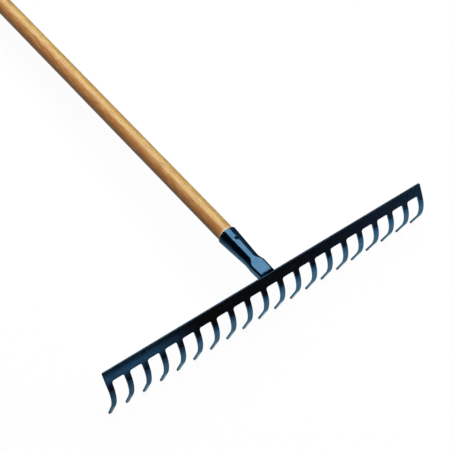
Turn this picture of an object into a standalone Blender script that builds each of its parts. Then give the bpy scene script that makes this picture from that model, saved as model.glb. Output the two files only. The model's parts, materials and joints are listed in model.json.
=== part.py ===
"""Garden rake: a punched and bent steel head with twenty tines, a tapered steel socket and a wooden handle.

Metres, +Z up. The tool lies as it would on a floor, on its tine tips and on the far end of its handle.
The origin is on that floor under the middle of the tool, X runs along the head, and +Y points to the far
end of the handle.

The pieces are modelled in the tool's own frame, which the empty named tool_frame then tilts and lifts.
There the handle's axis is the Y axis, and y = 0 is where the tines leave the bar, half way through the steel.
"""

import math

import bmesh
import bpy
from mathutils import Vector

# Head: a strip of steel, punched to a comb and bent. Distances along it start at the bar's top edge.
STEEL_THICKNESS = 0.0033
TINE_COUNT = 20
TINE_PITCH = 0.032
TINE_ROOT_WIDTH = 0.0100
TINE_TIP_WIDTH = 0.0056
TINE_END_CORNER = 0.0013
BAR_WIDTH = 0.0186
BAR_END_CORNER = 0.002
GAP_CORNER = 0.0036
EDGE_BREAK = 0.0005
BAR_SLOPE = math.radians(57.5)
ROOT_STRAIGHT = 0.0108
BEND_RADIUS = 0.0436
BEND_ANGLE = math.radians(53)
TIP_STRAIGHT = 0.0274
HANDLE_ABOVE_GAPS = 0.0084

# Socket: round and tapered from its mouth, then pressed flat to a neck that ends on the bar's back.
SOCKET_WALL = 0.0018
MOUTH_LIP = 0.0006
MOUTH_Y = 0.1087
MOUTH_DIAMETER = 0.0330
TAPER_END_Y = 0.0502
TAPER_END_DIAMETER = 0.0256
SHOULDER_Y = 0.0352
SHOULDER_WIDTH = 0.0280
NECK_END_WIDTH = 0.0266
NECK_HEIGHT = 0.0160
NECK_CORNER = 0.0050
NECK_RISE = 0.0016

# Handle: a round pole whose nose follows the socket's bore.
HANDLE_DIAMETER = 0.0285
HANDLE_LENGTH = 1.5
HANDLE_NOSE_Y = 0.055
HANDLE_NOSE_CHAMFER = 0.002
HANDLE_BUTT_ROUNDING = 0.006

# Fixing screw: a countersunk wood screw, down through the top of the socket into the handle.
SCREW_Y = 0.0874
SCREW_LENGTH = 0.020
SCREW_HEAD_RADIUS = 0.0026
SCREW_SHANK_RADIUS = 0.0015
SCREW_POINT = 0.004
SCREW_POINT_RADIUS = 0.0004
SCREW_SUNK = 0.0004
SLOT_WIDTH = 0.0009
SLOT_DEPTH = 0.0008

# Weld beads, thickest in the middle of their length. The upper one runs from the neck's top edge down over
# the bar's top edge, and the lower one fills the corner under the neck.
BEAD_HALF_LENGTH = 0.0092
UPPER_NECK_LEG = 0.0006
UPPER_BAR_LEG = 0.0028
UPPER_CROWN = 0.0006
LOWER_NECK_LEG = 0.0030
LOWER_BAR_LEG = 0.0022
LOWER_CROWN = 0.0003
BEAD_END_SHARE = 0.25

CLEARANCE = 0.0003
ROUND_SIDES = 32
SCREW_SIDES = 16
CORNER_STEPS = 4
BEND_STEPS = 8
PRESSED_STEPS = 6
BEAD_STEPS = 12
LEVELLING_ROUNDS = 4
SHARP_ANGLE = math.radians(35)

GAP_PITCHES = TINE_COUNT - 1
HEAD_HALF_LENGTH = (GAP_PITCHES * TINE_PITCH + TINE_ROOT_WIDTH) / 2
BEND_START = BAR_WIDTH + ROOT_STRAIGHT
BEND_LENGTH = BEND_RADIUS * BEND_ANGLE
STRIP_WIDTH = BEND_START + BEND_LENGTH + TIP_STRAIGHT


def mix(start, end, share):
    return start + (end - start) * share


def smooth_share(share):
    """Eases a share from 0 to 1, level at both ends."""
    return share * share * (3 - 2 * share)


def material(name, colour, roughness, metallic):
    made = bpy.data.materials.new(name)
    made.use_nodes = True
    shader = made.node_tree.nodes["Principled BSDF"]
    shader.inputs["Base Color"].default_value = (*colour, 1)
    shader.inputs["Roughness"].default_value = roughness
    shader.inputs["Metallic"].default_value = metallic
    return made


def blue_black_enamel(name):
    return material(name, (0.015, 0.045, 0.09), 0.25, 0.4)


def varnished_wood(name):
    return material(name, (0.52, 0.27, 0.10), 0.35, 0.0)


def dark_zinc(name):
    return material(name, (0.06, 0.07, 0.09), 0.4, 0.9)


def add_object(name, bm, parent, finish=None):
    """Closes a bmesh into a named object in the tool's frame; one without a finish is a cutter."""
    bmesh.ops.recalc_face_normals(bm, faces=bm.faces)
    mesh = bpy.data.meshes.new(name)
    bm.to_mesh(mesh)
    bm.free()
    mesh.shade_smooth()
    mesh.set_sharp_from_angle(angle=SHARP_ANGLE)
    made = bpy.data.objects.new(name, mesh)
    bpy.context.scene.collection.objects.link(made)
    made.parent = parent
    if finish:
        mesh.materials.append(finish)
    else:
        made.hide_render = True
        made.display_type = "WIRE"
    return made


def loft(rings, ends_meet=False):
    """A skin through rings of points. Its two ends are capped, or joined to each other when they meet."""
    bm = bmesh.new()
    rows = [[bm.verts.new(point) for point in ring] for ring in rings]
    spans = list(zip(rows, rows[1:]))
    if ends_meet:
        spans.append((rows[-1], rows[0]))
    else:
        bm.faces.new(rows[0])
        bm.faces.new(rows[-1])
    for row, next_row in spans:
        for index in range(len(row)):
            following = (index + 1) % len(row)
            bm.faces.new((row[index], row[following], next_row[following], next_row[index]))
    return bm


def cut(piece, cutter):
    boolean = piece.modifiers.new("Cut " + cutter.name, "BOOLEAN")
    boolean.operation = "DIFFERENCE"
    boolean.object = cutter


def quarter_arc(centre, radius, start, sweep):
    """Points of a rounded corner on the flat strip, from one tangent point to the other."""
    angles = [start + sweep * step / CORNER_STEPS for step in range(CORNER_STEPS + 1)]
    return [(centre[0] + radius * math.cos(a), centre[1] + radius * math.sin(a)) for a in angles]


def tine_outline(x):
    """One tine on the flat strip, from the gap on its right, round its tip, to the gap on its left."""
    quarter = math.pi / 2
    root = TINE_ROOT_WIDTH / 2
    tip = TINE_TIP_WIDTH / 2 - TINE_END_CORNER
    gap_along = BAR_WIDTH + GAP_CORNER
    tip_along = STRIP_WIDTH - TINE_END_CORNER
    right = quarter_arc((x + root + GAP_CORNER, gap_along), GAP_CORNER, 3 * quarter, -quarter)
    if x + root > HEAD_HALF_LENGTH - GAP_CORNER:
        right = [(HEAD_HALF_LENGTH, BAR_WIDTH)]
    left = quarter_arc((x - root - GAP_CORNER, gap_along), GAP_CORNER, 0, -quarter)
    if x - root < GAP_CORNER - HEAD_HALF_LENGTH:
        left = [(-HEAD_HALF_LENGTH, BAR_WIDTH)]
    return (
        right
        + quarter_arc((x + tip, tip_along), TINE_END_CORNER, 0, quarter)
        + quarter_arc((x - tip, tip_along), TINE_END_CORNER, quarter, quarter)
        + left
    )


def comb_outline():
    """The whole punched strip, as (x, distance along), from its top left corner round to its left end."""
    inset = HEAD_HALF_LENGTH - BAR_END_CORNER
    quarter = math.pi / 2
    points = quarter_arc((-inset, BAR_END_CORNER), BAR_END_CORNER, 2 * quarter, quarter)
    points += quarter_arc((inset, BAR_END_CORNER), BAR_END_CORNER, 3 * quarter, quarter)
    for index in reversed(range(TINE_COUNT)):
        points += tine_outline((index - GAP_PITCHES / 2) * TINE_PITCH)
    return points


def heading(slope):
    """The way down the strip, as (y, z), where it slopes this much below the horizontal."""
    return Vector((-math.cos(slope), -math.sin(slope)))


def back_normal(slope):
    """Straight out of the strip's back, the side that the handle is on."""
    return Vector((math.sin(slope), -math.cos(slope)))


def bent_strip(along, depth):
    """The (y, z) of a point of the strip after bending, depth behind the middle of its thickness."""
    gaps = Vector((0, -HANDLE_ABOVE_GAPS))
    centre = gaps + heading(BAR_SLOPE) * ROOT_STRAIGHT + back_normal(BAR_SLOPE) * BEND_RADIUS
    past_start = along - BEND_START
    slope = BAR_SLOPE + min(max(past_start, 0), BEND_LENGTH) / BEND_RADIUS
    straight = min(past_start, 0) + max(past_start - BEND_LENGTH, 0)
    return centre + heading(slope) * straight + back_normal(slope) * (depth - BEND_RADIUS)


def rake_head(tool, finish):
    """Bar and tines in one piece: the comb is filled, thickened, creased at the bend lines and bent."""
    bm = bmesh.new()
    front = -STEEL_THICKNESS / 2
    face = bm.faces.new([bm.verts.new((x, front, -along)) for x, along in comb_outline()])
    extruded = bmesh.ops.extrude_face_region(bm, geom=[face])["geom"]
    back = [item for item in extruded if isinstance(item, bmesh.types.BMVert)]
    bmesh.ops.translate(bm, vec=(0, STEEL_THICKNESS, 0), verts=back)
    for step in range(BEND_STEPS + 1):
        crease = BEND_START + BEND_LENGTH * step / BEND_STEPS
        everything = bm.verts[:] + bm.edges[:] + bm.faces[:]
        bmesh.ops.bisect_plane(bm, geom=everything, plane_co=(0, 0, -crease), plane_no=(0, 0, 1))
    for vert in bm.verts:
        vert.co.yz = bent_strip(-vert.co.z, vert.co.y)
    made = add_object("rake_head", bm, tool, finish)
    bevel = made.modifiers.new("Broken edges", "BEVEL")
    bevel.width = EDGE_BREAK
    bevel.segments = 1
    bevel.limit_method = "ANGLE"
    bevel.angle_limit = SHARP_ANGLE
    return made


def bar_back_y(z):
    """Where the flat back of the bar is at this height."""
    top = bent_strip(0, STEEL_THICKNESS / 2)
    return top.x + (z - top.y) / math.tan(BAR_SLOPE)


def rounded_box(width, height, corner, rise, y_at):
    """A ring round the handle's axis: a box with round corners, or a circle where they leave no flats."""
    ring = []
    for side in range(ROUND_SIDES):
        angle = 2 * math.pi * (side + 0.5) / ROUND_SIDES
        x = corner * math.cos(angle) + math.copysign(width / 2 - corner, math.cos(angle))
        z = corner * math.sin(angle) + math.copysign(height / 2 - corner, math.sin(angle)) + rise
        ring.append((x, y_at(z), z))
    return ring


def taper_diameter(y):
    return mix(TAPER_END_DIAMETER, MOUTH_DIAMETER, (y - TAPER_END_Y) / (MOUTH_Y - TAPER_END_Y))


def socket_size(y):
    """Outer (width, height, corner, rise) of the socket at a distance along the handle's axis."""
    if y >= TAPER_END_Y:
        return taper_diameter(y), taper_diameter(y), taper_diameter(y) / 2, 0
    if y <= SHOULDER_Y:
        return mix(NECK_END_WIDTH, SHOULDER_WIDTH, y / SHOULDER_Y), NECK_HEIGHT, NECK_CORNER, NECK_RISE
    share = (TAPER_END_Y - y) / (TAPER_END_Y - SHOULDER_Y)
    width = mix(TAPER_END_DIAMETER, SHOULDER_WIDTH, share * share)
    height = mix(TAPER_END_DIAMETER, NECK_HEIGHT, smooth_share(share))
    corner = mix(TAPER_END_DIAMETER / 2, NECK_CORNER, smooth_share(share))
    return width, height, min(corner, width / 2, height / 2), NECK_RISE * smooth_share(share)


def socket_ring(y, inset):
    width, height, corner, rise = socket_size(y)
    return rounded_box(width - 2 * inset, height - 2 * inset, corner - inset, rise, lambda z: y)


def neck_end_ring(inset):
    """The neck's end, cut to the slope of the bar's back and just clear of it."""
    clear = CLEARANCE / math.sin(BAR_SLOPE)
    width, height, corner, rise = socket_size(0)
    ring_size = (width - 2 * inset, height - 2 * inset, corner - inset, rise)
    return rounded_box(*ring_size, lambda z: bar_back_y(z) + clear)


def socket(tool, finish):
    """A tube with one wall thickness all the way, open at its mouth and at its neck's end."""
    shares = [step / PRESSED_STEPS for step in range(PRESSED_STEPS + 1)]
    pressed = [mix(TAPER_END_Y, SHOULDER_Y, share) for share in shares]
    outer = [socket_ring(MOUTH_Y, MOUTH_LIP)]
    outer += [socket_ring(y, 0) for y in [MOUTH_Y - MOUTH_LIP, *pressed]] + [neck_end_ring(0)]
    inner = [socket_ring(y, SOCKET_WALL) for y in [MOUTH_Y, *pressed]] + [neck_end_ring(SOCKET_WALL)]
    return add_object("socket", loft(outer + inner[::-1], ends_meet=True), tool, finish)


def disc(y, radius):
    """A ring of the handle."""
    return rounded_box(2 * radius, 2 * radius, radius, 0, lambda z: y)


def handle(tool, finish):
    """A turned pole: a tapered nose in the socket, a straight shaft and a rounded butt with a flat end."""
    bore_gap = SOCKET_WALL + CLEARANCE
    radius = HANDLE_DIAMETER / 2
    nose_end_y = HANDLE_NOSE_Y + HANDLE_NOSE_CHAMFER
    nose_radius = taper_diameter(nose_end_y) / 2 - bore_gap
    full_share = (2 * (radius + bore_gap) - TAPER_END_DIAMETER) / (MOUTH_DIAMETER - TAPER_END_DIAMETER)
    full_y = mix(TAPER_END_Y, MOUTH_Y, full_share)
    butt_y = HANDLE_NOSE_Y + HANDLE_LENGTH - HANDLE_BUTT_ROUNDING
    rings = [
        disc(HANDLE_NOSE_Y, nose_radius - HANDLE_NOSE_CHAMFER),
        disc(nose_end_y, nose_radius),
        disc(full_y, radius),
    ]
    for step in range(CORNER_STEPS + 1):
        angle = math.pi / 2 * step / CORNER_STEPS
        y = butt_y + HANDLE_BUTT_ROUNDING * math.sin(angle)
        rings.append(disc(y, radius - HANDLE_BUTT_ROUNDING * (1 - math.cos(angle))))
    return add_object("handle", loft(rings), tool, finish)


def screw_ring(z, radius):
    angles = [2 * math.pi * side / SCREW_SIDES for side in range(SCREW_SIDES)]
    return [(radius * math.cos(a), SCREW_Y + radius * math.sin(a), z) for a in angles]


def screw_profile(spread, sunk):
    """(z, radius) down the screw, or down the hole that clears it when it is spread."""
    top = taper_diameter(SCREW_Y) / 2 - sunk
    cone = SCREW_HEAD_RADIUS - SCREW_SHANK_RADIUS
    point = top - SCREW_LENGTH
    return [
        (top, SCREW_HEAD_RADIUS + spread),
        (top - cone, SCREW_SHANK_RADIUS + spread),
        (point + SCREW_POINT, SCREW_SHANK_RADIUS + spread),
        (point - spread, SCREW_POINT_RADIUS + spread),
    ]


def fixing_screw(tool, finish):
    rings = [screw_ring(z, radius) for z, radius in screw_profile(0, SCREW_SUNK)]
    return add_object("fixing_screw", loft(rings), tool, finish)


def screw_hole(tool):
    """The countersunk hole through the socket's top and on into the handle."""
    profile = screw_profile(CLEARANCE, SCREW_SUNK)
    top, radius = profile[0]
    above = (top + SCREW_HEAD_RADIUS, radius + SCREW_HEAD_RADIUS)
    return add_object("screw_hole", loft([screw_ring(z, r) for z, r in [above, *profile]]), tool)


def screw_slot(tool):
    """The driver's slot across the screw's head, along X."""
    top = screw_profile(0, SCREW_SUNK)[0][0]
    low, high = top - SLOT_DEPTH, top + SLOT_DEPTH
    near, far = SCREW_Y - SLOT_WIDTH / 2, SCREW_Y + SLOT_WIDTH / 2
    corners = [(near, low), (far, low), (far, high), (near, high)]
    half_length = 2 * SCREW_HEAD_RADIUS
    rings = [[(x, y, z) for y, z in corners] for x in (-half_length, half_length)]
    return add_object("screw_slot", loft(rings), tool)


def bead(name, tool, finish, profile_at):
    """A weld bead along X, through the (y, z) outlines that profile_at gives for its size on the way."""
    rings = []
    for step in range(BEAD_STEPS + 1):
        reach = 2 * step / BEAD_STEPS - 1
        size = mix(BEAD_END_SHARE, 1, math.sqrt(1 - reach * reach))
        rings.append([(BEAD_HALF_LENGTH * reach, point.x, point.y) for point in profile_at(size)])
    return add_object(name, loft(rings), tool, finish)


def upper_profile(size):
    """From the neck's top, over the edge of its end, down to the bar's top edge."""
    top = NECK_RISE + NECK_HEIGHT / 2 + CLEARANCE
    neck_edge = Vector((bar_back_y(top), top))
    neck_toe = neck_edge + Vector((UPPER_NECK_LEG, 0)) * size
    bar_edge = bent_strip(-CLEARANCE, STEEL_THICKNESS / 2)
    bar_toe = bent_strip(-CLEARANCE, STEEL_THICKNESS / 2 - UPPER_BAR_LEG * size)
    down = (bar_toe - neck_edge).normalized()
    crown = Vector((down.y, -down.x)) * UPPER_CROWN * size
    return [neck_toe, neck_edge + crown, (neck_edge + bar_toe) / 2 + crown, bar_toe, bar_edge, neck_edge]


def lower_profile(size):
    """The corner of the neck's underside and the bar's back."""
    under = NECK_RISE - NECK_HEIGHT / 2 - CLEARANCE
    corner = Vector((bar_back_y(under) + CLEARANCE / math.sin(BAR_SLOPE), under))
    neck_toe = corner + Vector((LOWER_NECK_LEG, 0)) * size
    bar_toe = corner + heading(BAR_SLOPE) * LOWER_BAR_LEG * size
    middle = (neck_toe + bar_toe) / 2
    return [corner, neck_toe, middle + (middle - corner).normalized() * LOWER_CROWN * size, bar_toe]


def side_points(piece):
    """Every point of a finished piece as (y, z) in the tool's frame."""
    evaluated = piece.evaluated_get(bpy.context.evaluated_depsgraph_get())
    points = [(vert.co.y, vert.co.z) for vert in evaluated.to_mesh().vertices]
    evaluated.to_mesh_clear()
    return points


def lay_on_floor(tool, head, pole):
    """Tilts the tool until its lowest tine and handle points are level, then lifts it to the floor."""
    head_points, pole_points = side_points(head), side_points(pole)
    tilt = 0.0

    def height(point):
        return point[0] * math.sin(tilt) + point[1] * math.cos(tilt)

    for _ in range(LEVELLING_ROUNDS):
        foot, butt = min(head_points, key=height), min(pole_points, key=height)
        tilt = math.atan2(foot[1] - butt[1], butt[0] - foot[0])
    reaches = [y * math.cos(tilt) - z * math.sin(tilt) for y, z in head_points + pole_points]
    tool.rotation_euler.x = tilt
    tool.location = (0, -(min(reaches) + max(reaches)) / 2, -min(map(height, head_points)))


def main():
    for old in list(bpy.data.objects):
        bpy.data.objects.remove(old)
    tool = bpy.data.objects.new("tool_frame", None)
    bpy.context.scene.collection.objects.link(tool)
    head = rake_head(tool, blue_black_enamel("head_enamel"))
    tube = socket(tool, blue_black_enamel("socket_enamel"))
    pole = handle(tool, varnished_wood("handle_varnish"))
    screw = fixing_screw(tool, dark_zinc("screw_zinc"))
    bead_finish = blue_black_enamel("weld_enamel")
    bead("weld_upper", tool, bead_finish, upper_profile)
    bead("weld_lower", tool, bead_finish, lower_profile)
    hole = screw_hole(tool)
    cut(tube, hole)
    cut(pole, hole)
    cut(screw, screw_slot(tool))
    lay_on_floor(tool, head, pole)


main()
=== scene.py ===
"""Garden rake: the fine meshes and finishes of its pieces, on a pale floor under soft studio light.

Metres, +Z up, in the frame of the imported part. The pieces are modelled in the tool's own frame and then
placed: there the handle's axis is the Y axis, +Y runs to the handle's far end, and y = 0 is where the tines
leave the bar, half way through the steel.
"""

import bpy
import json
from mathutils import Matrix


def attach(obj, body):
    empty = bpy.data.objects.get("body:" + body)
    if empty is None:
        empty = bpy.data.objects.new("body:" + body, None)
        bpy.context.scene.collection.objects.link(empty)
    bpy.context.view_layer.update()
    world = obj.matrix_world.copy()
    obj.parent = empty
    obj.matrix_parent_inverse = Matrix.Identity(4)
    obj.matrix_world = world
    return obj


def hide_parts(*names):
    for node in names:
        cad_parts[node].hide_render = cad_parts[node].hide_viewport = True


bl_info = {
    "name": "Garden Rake",
    "version": (1, 0, 0),
    "blender": (4, 5, 0),
    "location": "3D View > Sidebar > Rake",
    "description": "Builds a garden rake's fine meshes, finishes and studio around its packed frame",
    "category": "Object",
}

import json
import math
import random

import bmesh
import bpy
from bpy.props import FloatProperty, FloatVectorProperty, IntProperty, PointerProperty
from mathutils import Matrix, Vector, noise

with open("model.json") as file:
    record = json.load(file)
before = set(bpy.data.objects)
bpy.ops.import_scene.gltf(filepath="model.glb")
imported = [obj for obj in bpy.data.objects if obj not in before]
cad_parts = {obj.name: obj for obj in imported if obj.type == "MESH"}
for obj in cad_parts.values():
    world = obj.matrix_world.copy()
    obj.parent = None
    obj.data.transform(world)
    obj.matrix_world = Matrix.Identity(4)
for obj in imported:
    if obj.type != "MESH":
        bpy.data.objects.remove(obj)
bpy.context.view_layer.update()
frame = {"record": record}

BODY = "root"

# The butt's flat face is a mount, square to the handle's axis, so it places the tool's own frame.
BUTT_MOUNT = next(mount for mount in frame["record"]["mounts"] if mount["name"] == "handle_butt")
BUTT_Y = 1.555

SHARP_ANGLE = math.radians(50)
QUARTER = math.pi / 2
BURIED = 0.0003
SLIVER = 0.000002


def mix(start, end, share):
    return start + (end - start) * share


def smooth_share(share):
    """Eases a share from 0 to 1, level at both ends."""
    return share * share * (3 - 2 * share)


def limited(value, low, high):
    return min(max(value, low), high)


def steps(count):
    """Shares from 0 to 1 in equal steps, both ends included."""
    return [step / count for step in range(count + 1)]


def tool_matrix():
    """From the tool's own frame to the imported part's."""
    axis = Vector(BUTT_MOUNT["axis"])
    origin = Vector(BUTT_MOUNT["pos_m"]) - axis * BUTT_Y
    return Matrix.Translation(origin) @ Matrix.Rotation(math.atan2(axis.z, axis.y), 4, "X")


# Sizes and colours that a user would change.


def number(name, default, description, **kind):
    return FloatProperty(name=name, description=description, default=default, **kind)


def amount(name, default, description):
    return number(name, default, description, min=0.0)


def length(name, default, description):
    return number(name, default, description, min=0.0, unit="LENGTH", precision=4)


def angle(name, degrees, description):
    return number(name, math.radians(degrees), description, subtype="ANGLE")


def colour(name, default, description):
    return FloatVectorProperty(
        name=name, description=description, default=default, min=0.0, max=1.0, subtype="COLOR"
    )


class HeadSettings(bpy.types.PropertyGroup):
    steel: length("Steel", 0.0033, "Thickness of the steel")
    tines: IntProperty(name="Tines", description="Number of tines", default=20, min=2)
    pitch: length("Pitch", 0.032, "From one tine to the next")
    root_width: length("Root width", 0.0100, "Width of a tine at the bar")
    tip_width: length("Tip width", 0.0056, "Width of a tine at its tip")
    tip_corner: length("Tip corner", 0.0013, "Radius of a tip's two corners")
    bar_width: length("Bar width", 0.0186, "From the bar's top edge to the gaps")
    bar_corner: length("Bar corner", 0.002, "Radius of the bar's two upper corners")
    gap_corner: length("Gap corner", 0.0036, "Radius in the gaps' corners")
    edge: length("Edge", 0.0005, "Rounding of the steel's edges")
    bar_slope: angle("Bar slope", 57.5, "How steeply the bar slopes")
    root_straight: length("Root straight", 0.0088, "Straight start of a tine")
    bend_radius: length("Bend radius", 0.0463, "Radius of a tine's bend")
    bend_angle: angle("Bend angle", 51.4, "How far a tine bends")
    tip_straight: length("Tip straight", 0.0277, "Straight end of a tine")
    gaps_below: length("Gaps below axis", 0.0084, "From the handle's axis down to the gaps")
    lean: length("Lean", 0.0004, "How far a tine's tip strays sideways")
    curl: amount("Curl", 0.01, "Share by which a tine may bend further")
    twist: angle("Twist", 6.6, "How far use has twisted the head, end to end")


class SocketSettings(bpy.types.PropertyGroup):
    wall: length("Wall", 0.0018, "Thickness of the tube's wall")
    lip: length("Lip", 0.0006, "Rounding of the mouth's outer edge")
    mouth_y: length("Mouth place", 0.1087, "Where the mouth is along the axis")
    mouth_diameter: length("Mouth diameter", 0.0330, "Outer diameter at the mouth")
    taper_end_y: length("Taper end place", 0.0502, "Where the round taper ends")
    taper_end_diameter: length("Taper end diameter", 0.0256, "Outer diameter where the taper ends")
    shoulder_y: length("Shoulder place", 0.0352, "Where the pressed neck starts")
    shoulder_width: length("Shoulder width", 0.0280, "Width of the neck at its shoulder")
    neck_end_width: length("Neck end width", 0.0266, "Width of the neck at the bar")
    neck_height: length("Neck height", 0.0160, "Height of the neck")
    neck_corner: length("Neck corner", 0.0050, "Radius of the neck's four long corners")
    neck_rise: length("Neck rise", 0.0016, "From the axis up to the neck's middle")
    waver: length("Waver", 0.00005, "How far the tube strays from a true form")


class HandleSettings(bpy.types.PropertyGroup):
    diameter: length("Diameter", 0.0285, "Diameter of the pole")
    nose_y: length("Nose place", 0.055, "Where the nose ends inside the socket")
    nose_chamfer: length("Nose chamfer", 0.002, "Chamfer of the nose")
    bore_gap: length("Bore gap", 0.0003, "Gap between the nose and the socket's bore")
    butt_rounding: length("Butt rounding", 0.006, "Rounding of the pole's far end")
    waver: length("Waver", 0.00010, "How far the pole strays from a true round")


class ScrewSettings(bpy.types.PropertyGroup):
    place_y: length("Place", 0.0874, "Where the screw is along the axis")
    full_length: length("Length", 0.020, "Length of the screw")
    head_radius: length("Head radius", 0.0026, "Radius of the countersunk head")
    shank_radius: length("Shank radius", 0.0015, "Outer radius of the thread")
    thread_depth: length("Thread depth", 0.00042, "Depth of the thread")
    thread_pitch: length("Thread pitch", 0.0014, "Distance from one turn to the next")
    point: length("Point", 0.004, "Length of the tapered point")
    sunk: length("Sunk", 0.0004, "How far the head lies below the surface")
    slot_width: length("Slot width", 0.0009, "Width of the driver's slot")
    slot_depth: length("Slot depth", 0.0008, "Depth of the driver's slot")
    clearance: length("Clearance", 0.0003, "Gap between the screw and its hole")


class WeldSettings(bpy.types.PropertyGroup):
    half_length: length("Half length", 0.0112, "Half the length of a bead")
    upper_neck_leg: length("Upper neck leg", 0.0018, "The upper bead's reach over the neck")
    upper_bar_leg: length("Upper bar leg", 0.0030, "The upper bead's reach over the bar")
    lower_neck_leg: length("Lower neck leg", 0.0030, "The lower bead's reach along the neck")
    lower_bar_leg: length("Lower bar leg", 0.0022, "The lower bead's reach down the bar")
    crown: length("Crown", 0.0013, "How far a bead bulges")
    ripple: length("Ripple", 0.00004, "Height of the ripples along a bead")
    ripple_pitch: length("Ripple pitch", 0.0018, "Distance from one ripple to the next")


class FinishSettings(bpy.types.PropertyGroup):
    enamel: colour("Enamel", (0.030, 0.092, 0.166), "Blue-black enamel where it is thick")
    enamel_thin: colour("Thin enamel", (0.052, 0.120, 0.190), "Enamel where it has run thin")
    # Darker steel at the tines' tips: chipped enamel, and painted shade on the tips.
    tip_wear_and_shade: colour("Worn tip", (0.030, 0.034, 0.036), "Steel at the tips, where the enamel has gone")
    # Wood tones. Split across the pole, they also paint the shade on its left side, away from the light.
    sapwood: colour("Sapwood", (0.76, 0.49, 0.135), "Pale side of the handle")
    heartwood: colour("Heartwood", (0.62, 0.26, 0.078), "Brown side of the handle")
    pore: colour("Pores", (0.24, 0.10, 0.035), "Fine dark pores of the wood")
    # Painted shade: a darker tone along the pole's right side, where the light falls off.
    painted_right_shade: colour("Far wood", (0.44, 0.27, 0.08), "Duller wood along the handle's right side")
    pale_fleck: colour("Pale fleck", (0.90, 0.68, 0.26), "Pale flecks of the wood's figure")
    # Painted highlight: a pale band on the pole just past the socket's mouth, for the light line along the
    # rim.
    mouth_highlight: colour("Bare wood", (0.80, 0.66, 0.42), "Wood scraped bare at the socket's mouth")
    screw: colour("Screw", (0.004, 0.006, 0.010), "Blackened steel of the screw")
    screw_worn: colour("Worn screw", (0.014, 0.020, 0.026), "Where the driver has scuffed the screw")


class StageSettings(bpy.types.PropertyGroup):
    floor: amount("Floor", 0.08, "Paleness of the floor to the lamps, which sets its shadows")
    glow_near: colour("Near glow", (0.95, 0.95, 0.92), "The floor just in front of the head, to gloss")
    glow_far: colour("Far glow", (0.22, 0.60, 0.82), "The floor further in front, to gloss")
    glow_distant: colour("Distant glow", (0.16, 0.17, 0.20), "The distant floor in front, to gloss")
    glow_under: colour("Glow under", (0.30, 0.30, 0.30), "The floor under the handle, to gloss")
    glow_behind: colour("Glow behind", (0.04, 0.04, 0.04), "The rest of the floor, to gloss")
    horizon: colour("Horizon", (0.13, 0.08, 0.10), "The room just above the floor in front, to gloss")
    room_front: colour("Room in front", (0.07, 0.028, 0.018), "The dark room in front, to gloss")
    room_high: colour("Room high up", (0.03, 0.12, 0.30), "The room in front, higher up, to gloss")
    room_walls: colour("Room walls", (0.012, 0.016, 0.03), "The rest of the dark room, to gloss")
    blue_card: colour("Blue card", (0.42, 0.70, 0.90), "A card in front that the bar's left end mirrors")
    soft_box: amount("Soft box", 2.4, "Brightness of the soft box's face")
    side_panel: amount("Side panel", 0.28, "Brightness of the side panel")
    room: amount("Room", 0.1, "Brightness of the soft light all round")
    floor_light: amount("Floor light", 0.95, "How bright the lamps make a white floor")
    lens: amount("Lens", 142.799, "Focal length for a 36 mm frame")
    camera: FloatVectorProperty(
        name="Camera",
        description="Where the camera is",
        default=(-1.17357, -1.82150, 2.28459),
        subtype="TRANSLATION",
    )
    heading: angle("Heading", 45.173, "How far the camera looks to the right of the handle's direction")
    drop: angle("Drop", 52.927, "How far the camera looks down")
    roll: angle("Roll", 8.616, "How far the camera leans over")


class RakeSettings(bpy.types.PropertyGroup):
    head: PointerProperty(type=HeadSettings, name="Head")
    socket: PointerProperty(type=SocketSettings, name="Socket")
    handle: PointerProperty(type=HandleSettings, name="Handle")
    screw: PointerProperty(type=ScrewSettings, name="Screw")
    weld: PointerProperty(type=WeldSettings, name="Welds")
    finish: PointerProperty(type=FinishSettings, name="Finishes")
    stage: PointerProperty(type=StageSettings, name="Stage")


# Shader expressions.


def arithmetic(operation):
    """An operator's method and the one of its reflected form, which both add its Math node."""

    def plain(self, other):
        return self.finish.math(operation, self, other)

    def reflected(self, other):
        return self.finish.math(operation, other, self)

    return plain, reflected


class Value:
    """A shader's socket: arithmetic on it adds the Math nodes that the expression says."""

    __add__, __radd__ = arithmetic("ADD")
    __sub__, __rsub__ = arithmetic("SUBTRACT")
    __mul__, __rmul__ = arithmetic("MULTIPLY")
    __mod__, __rmod__ = arithmetic("FLOORED_MODULO")

    def __init__(self, finish, socket):
        self.finish = finish
        self.socket = socket


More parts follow.
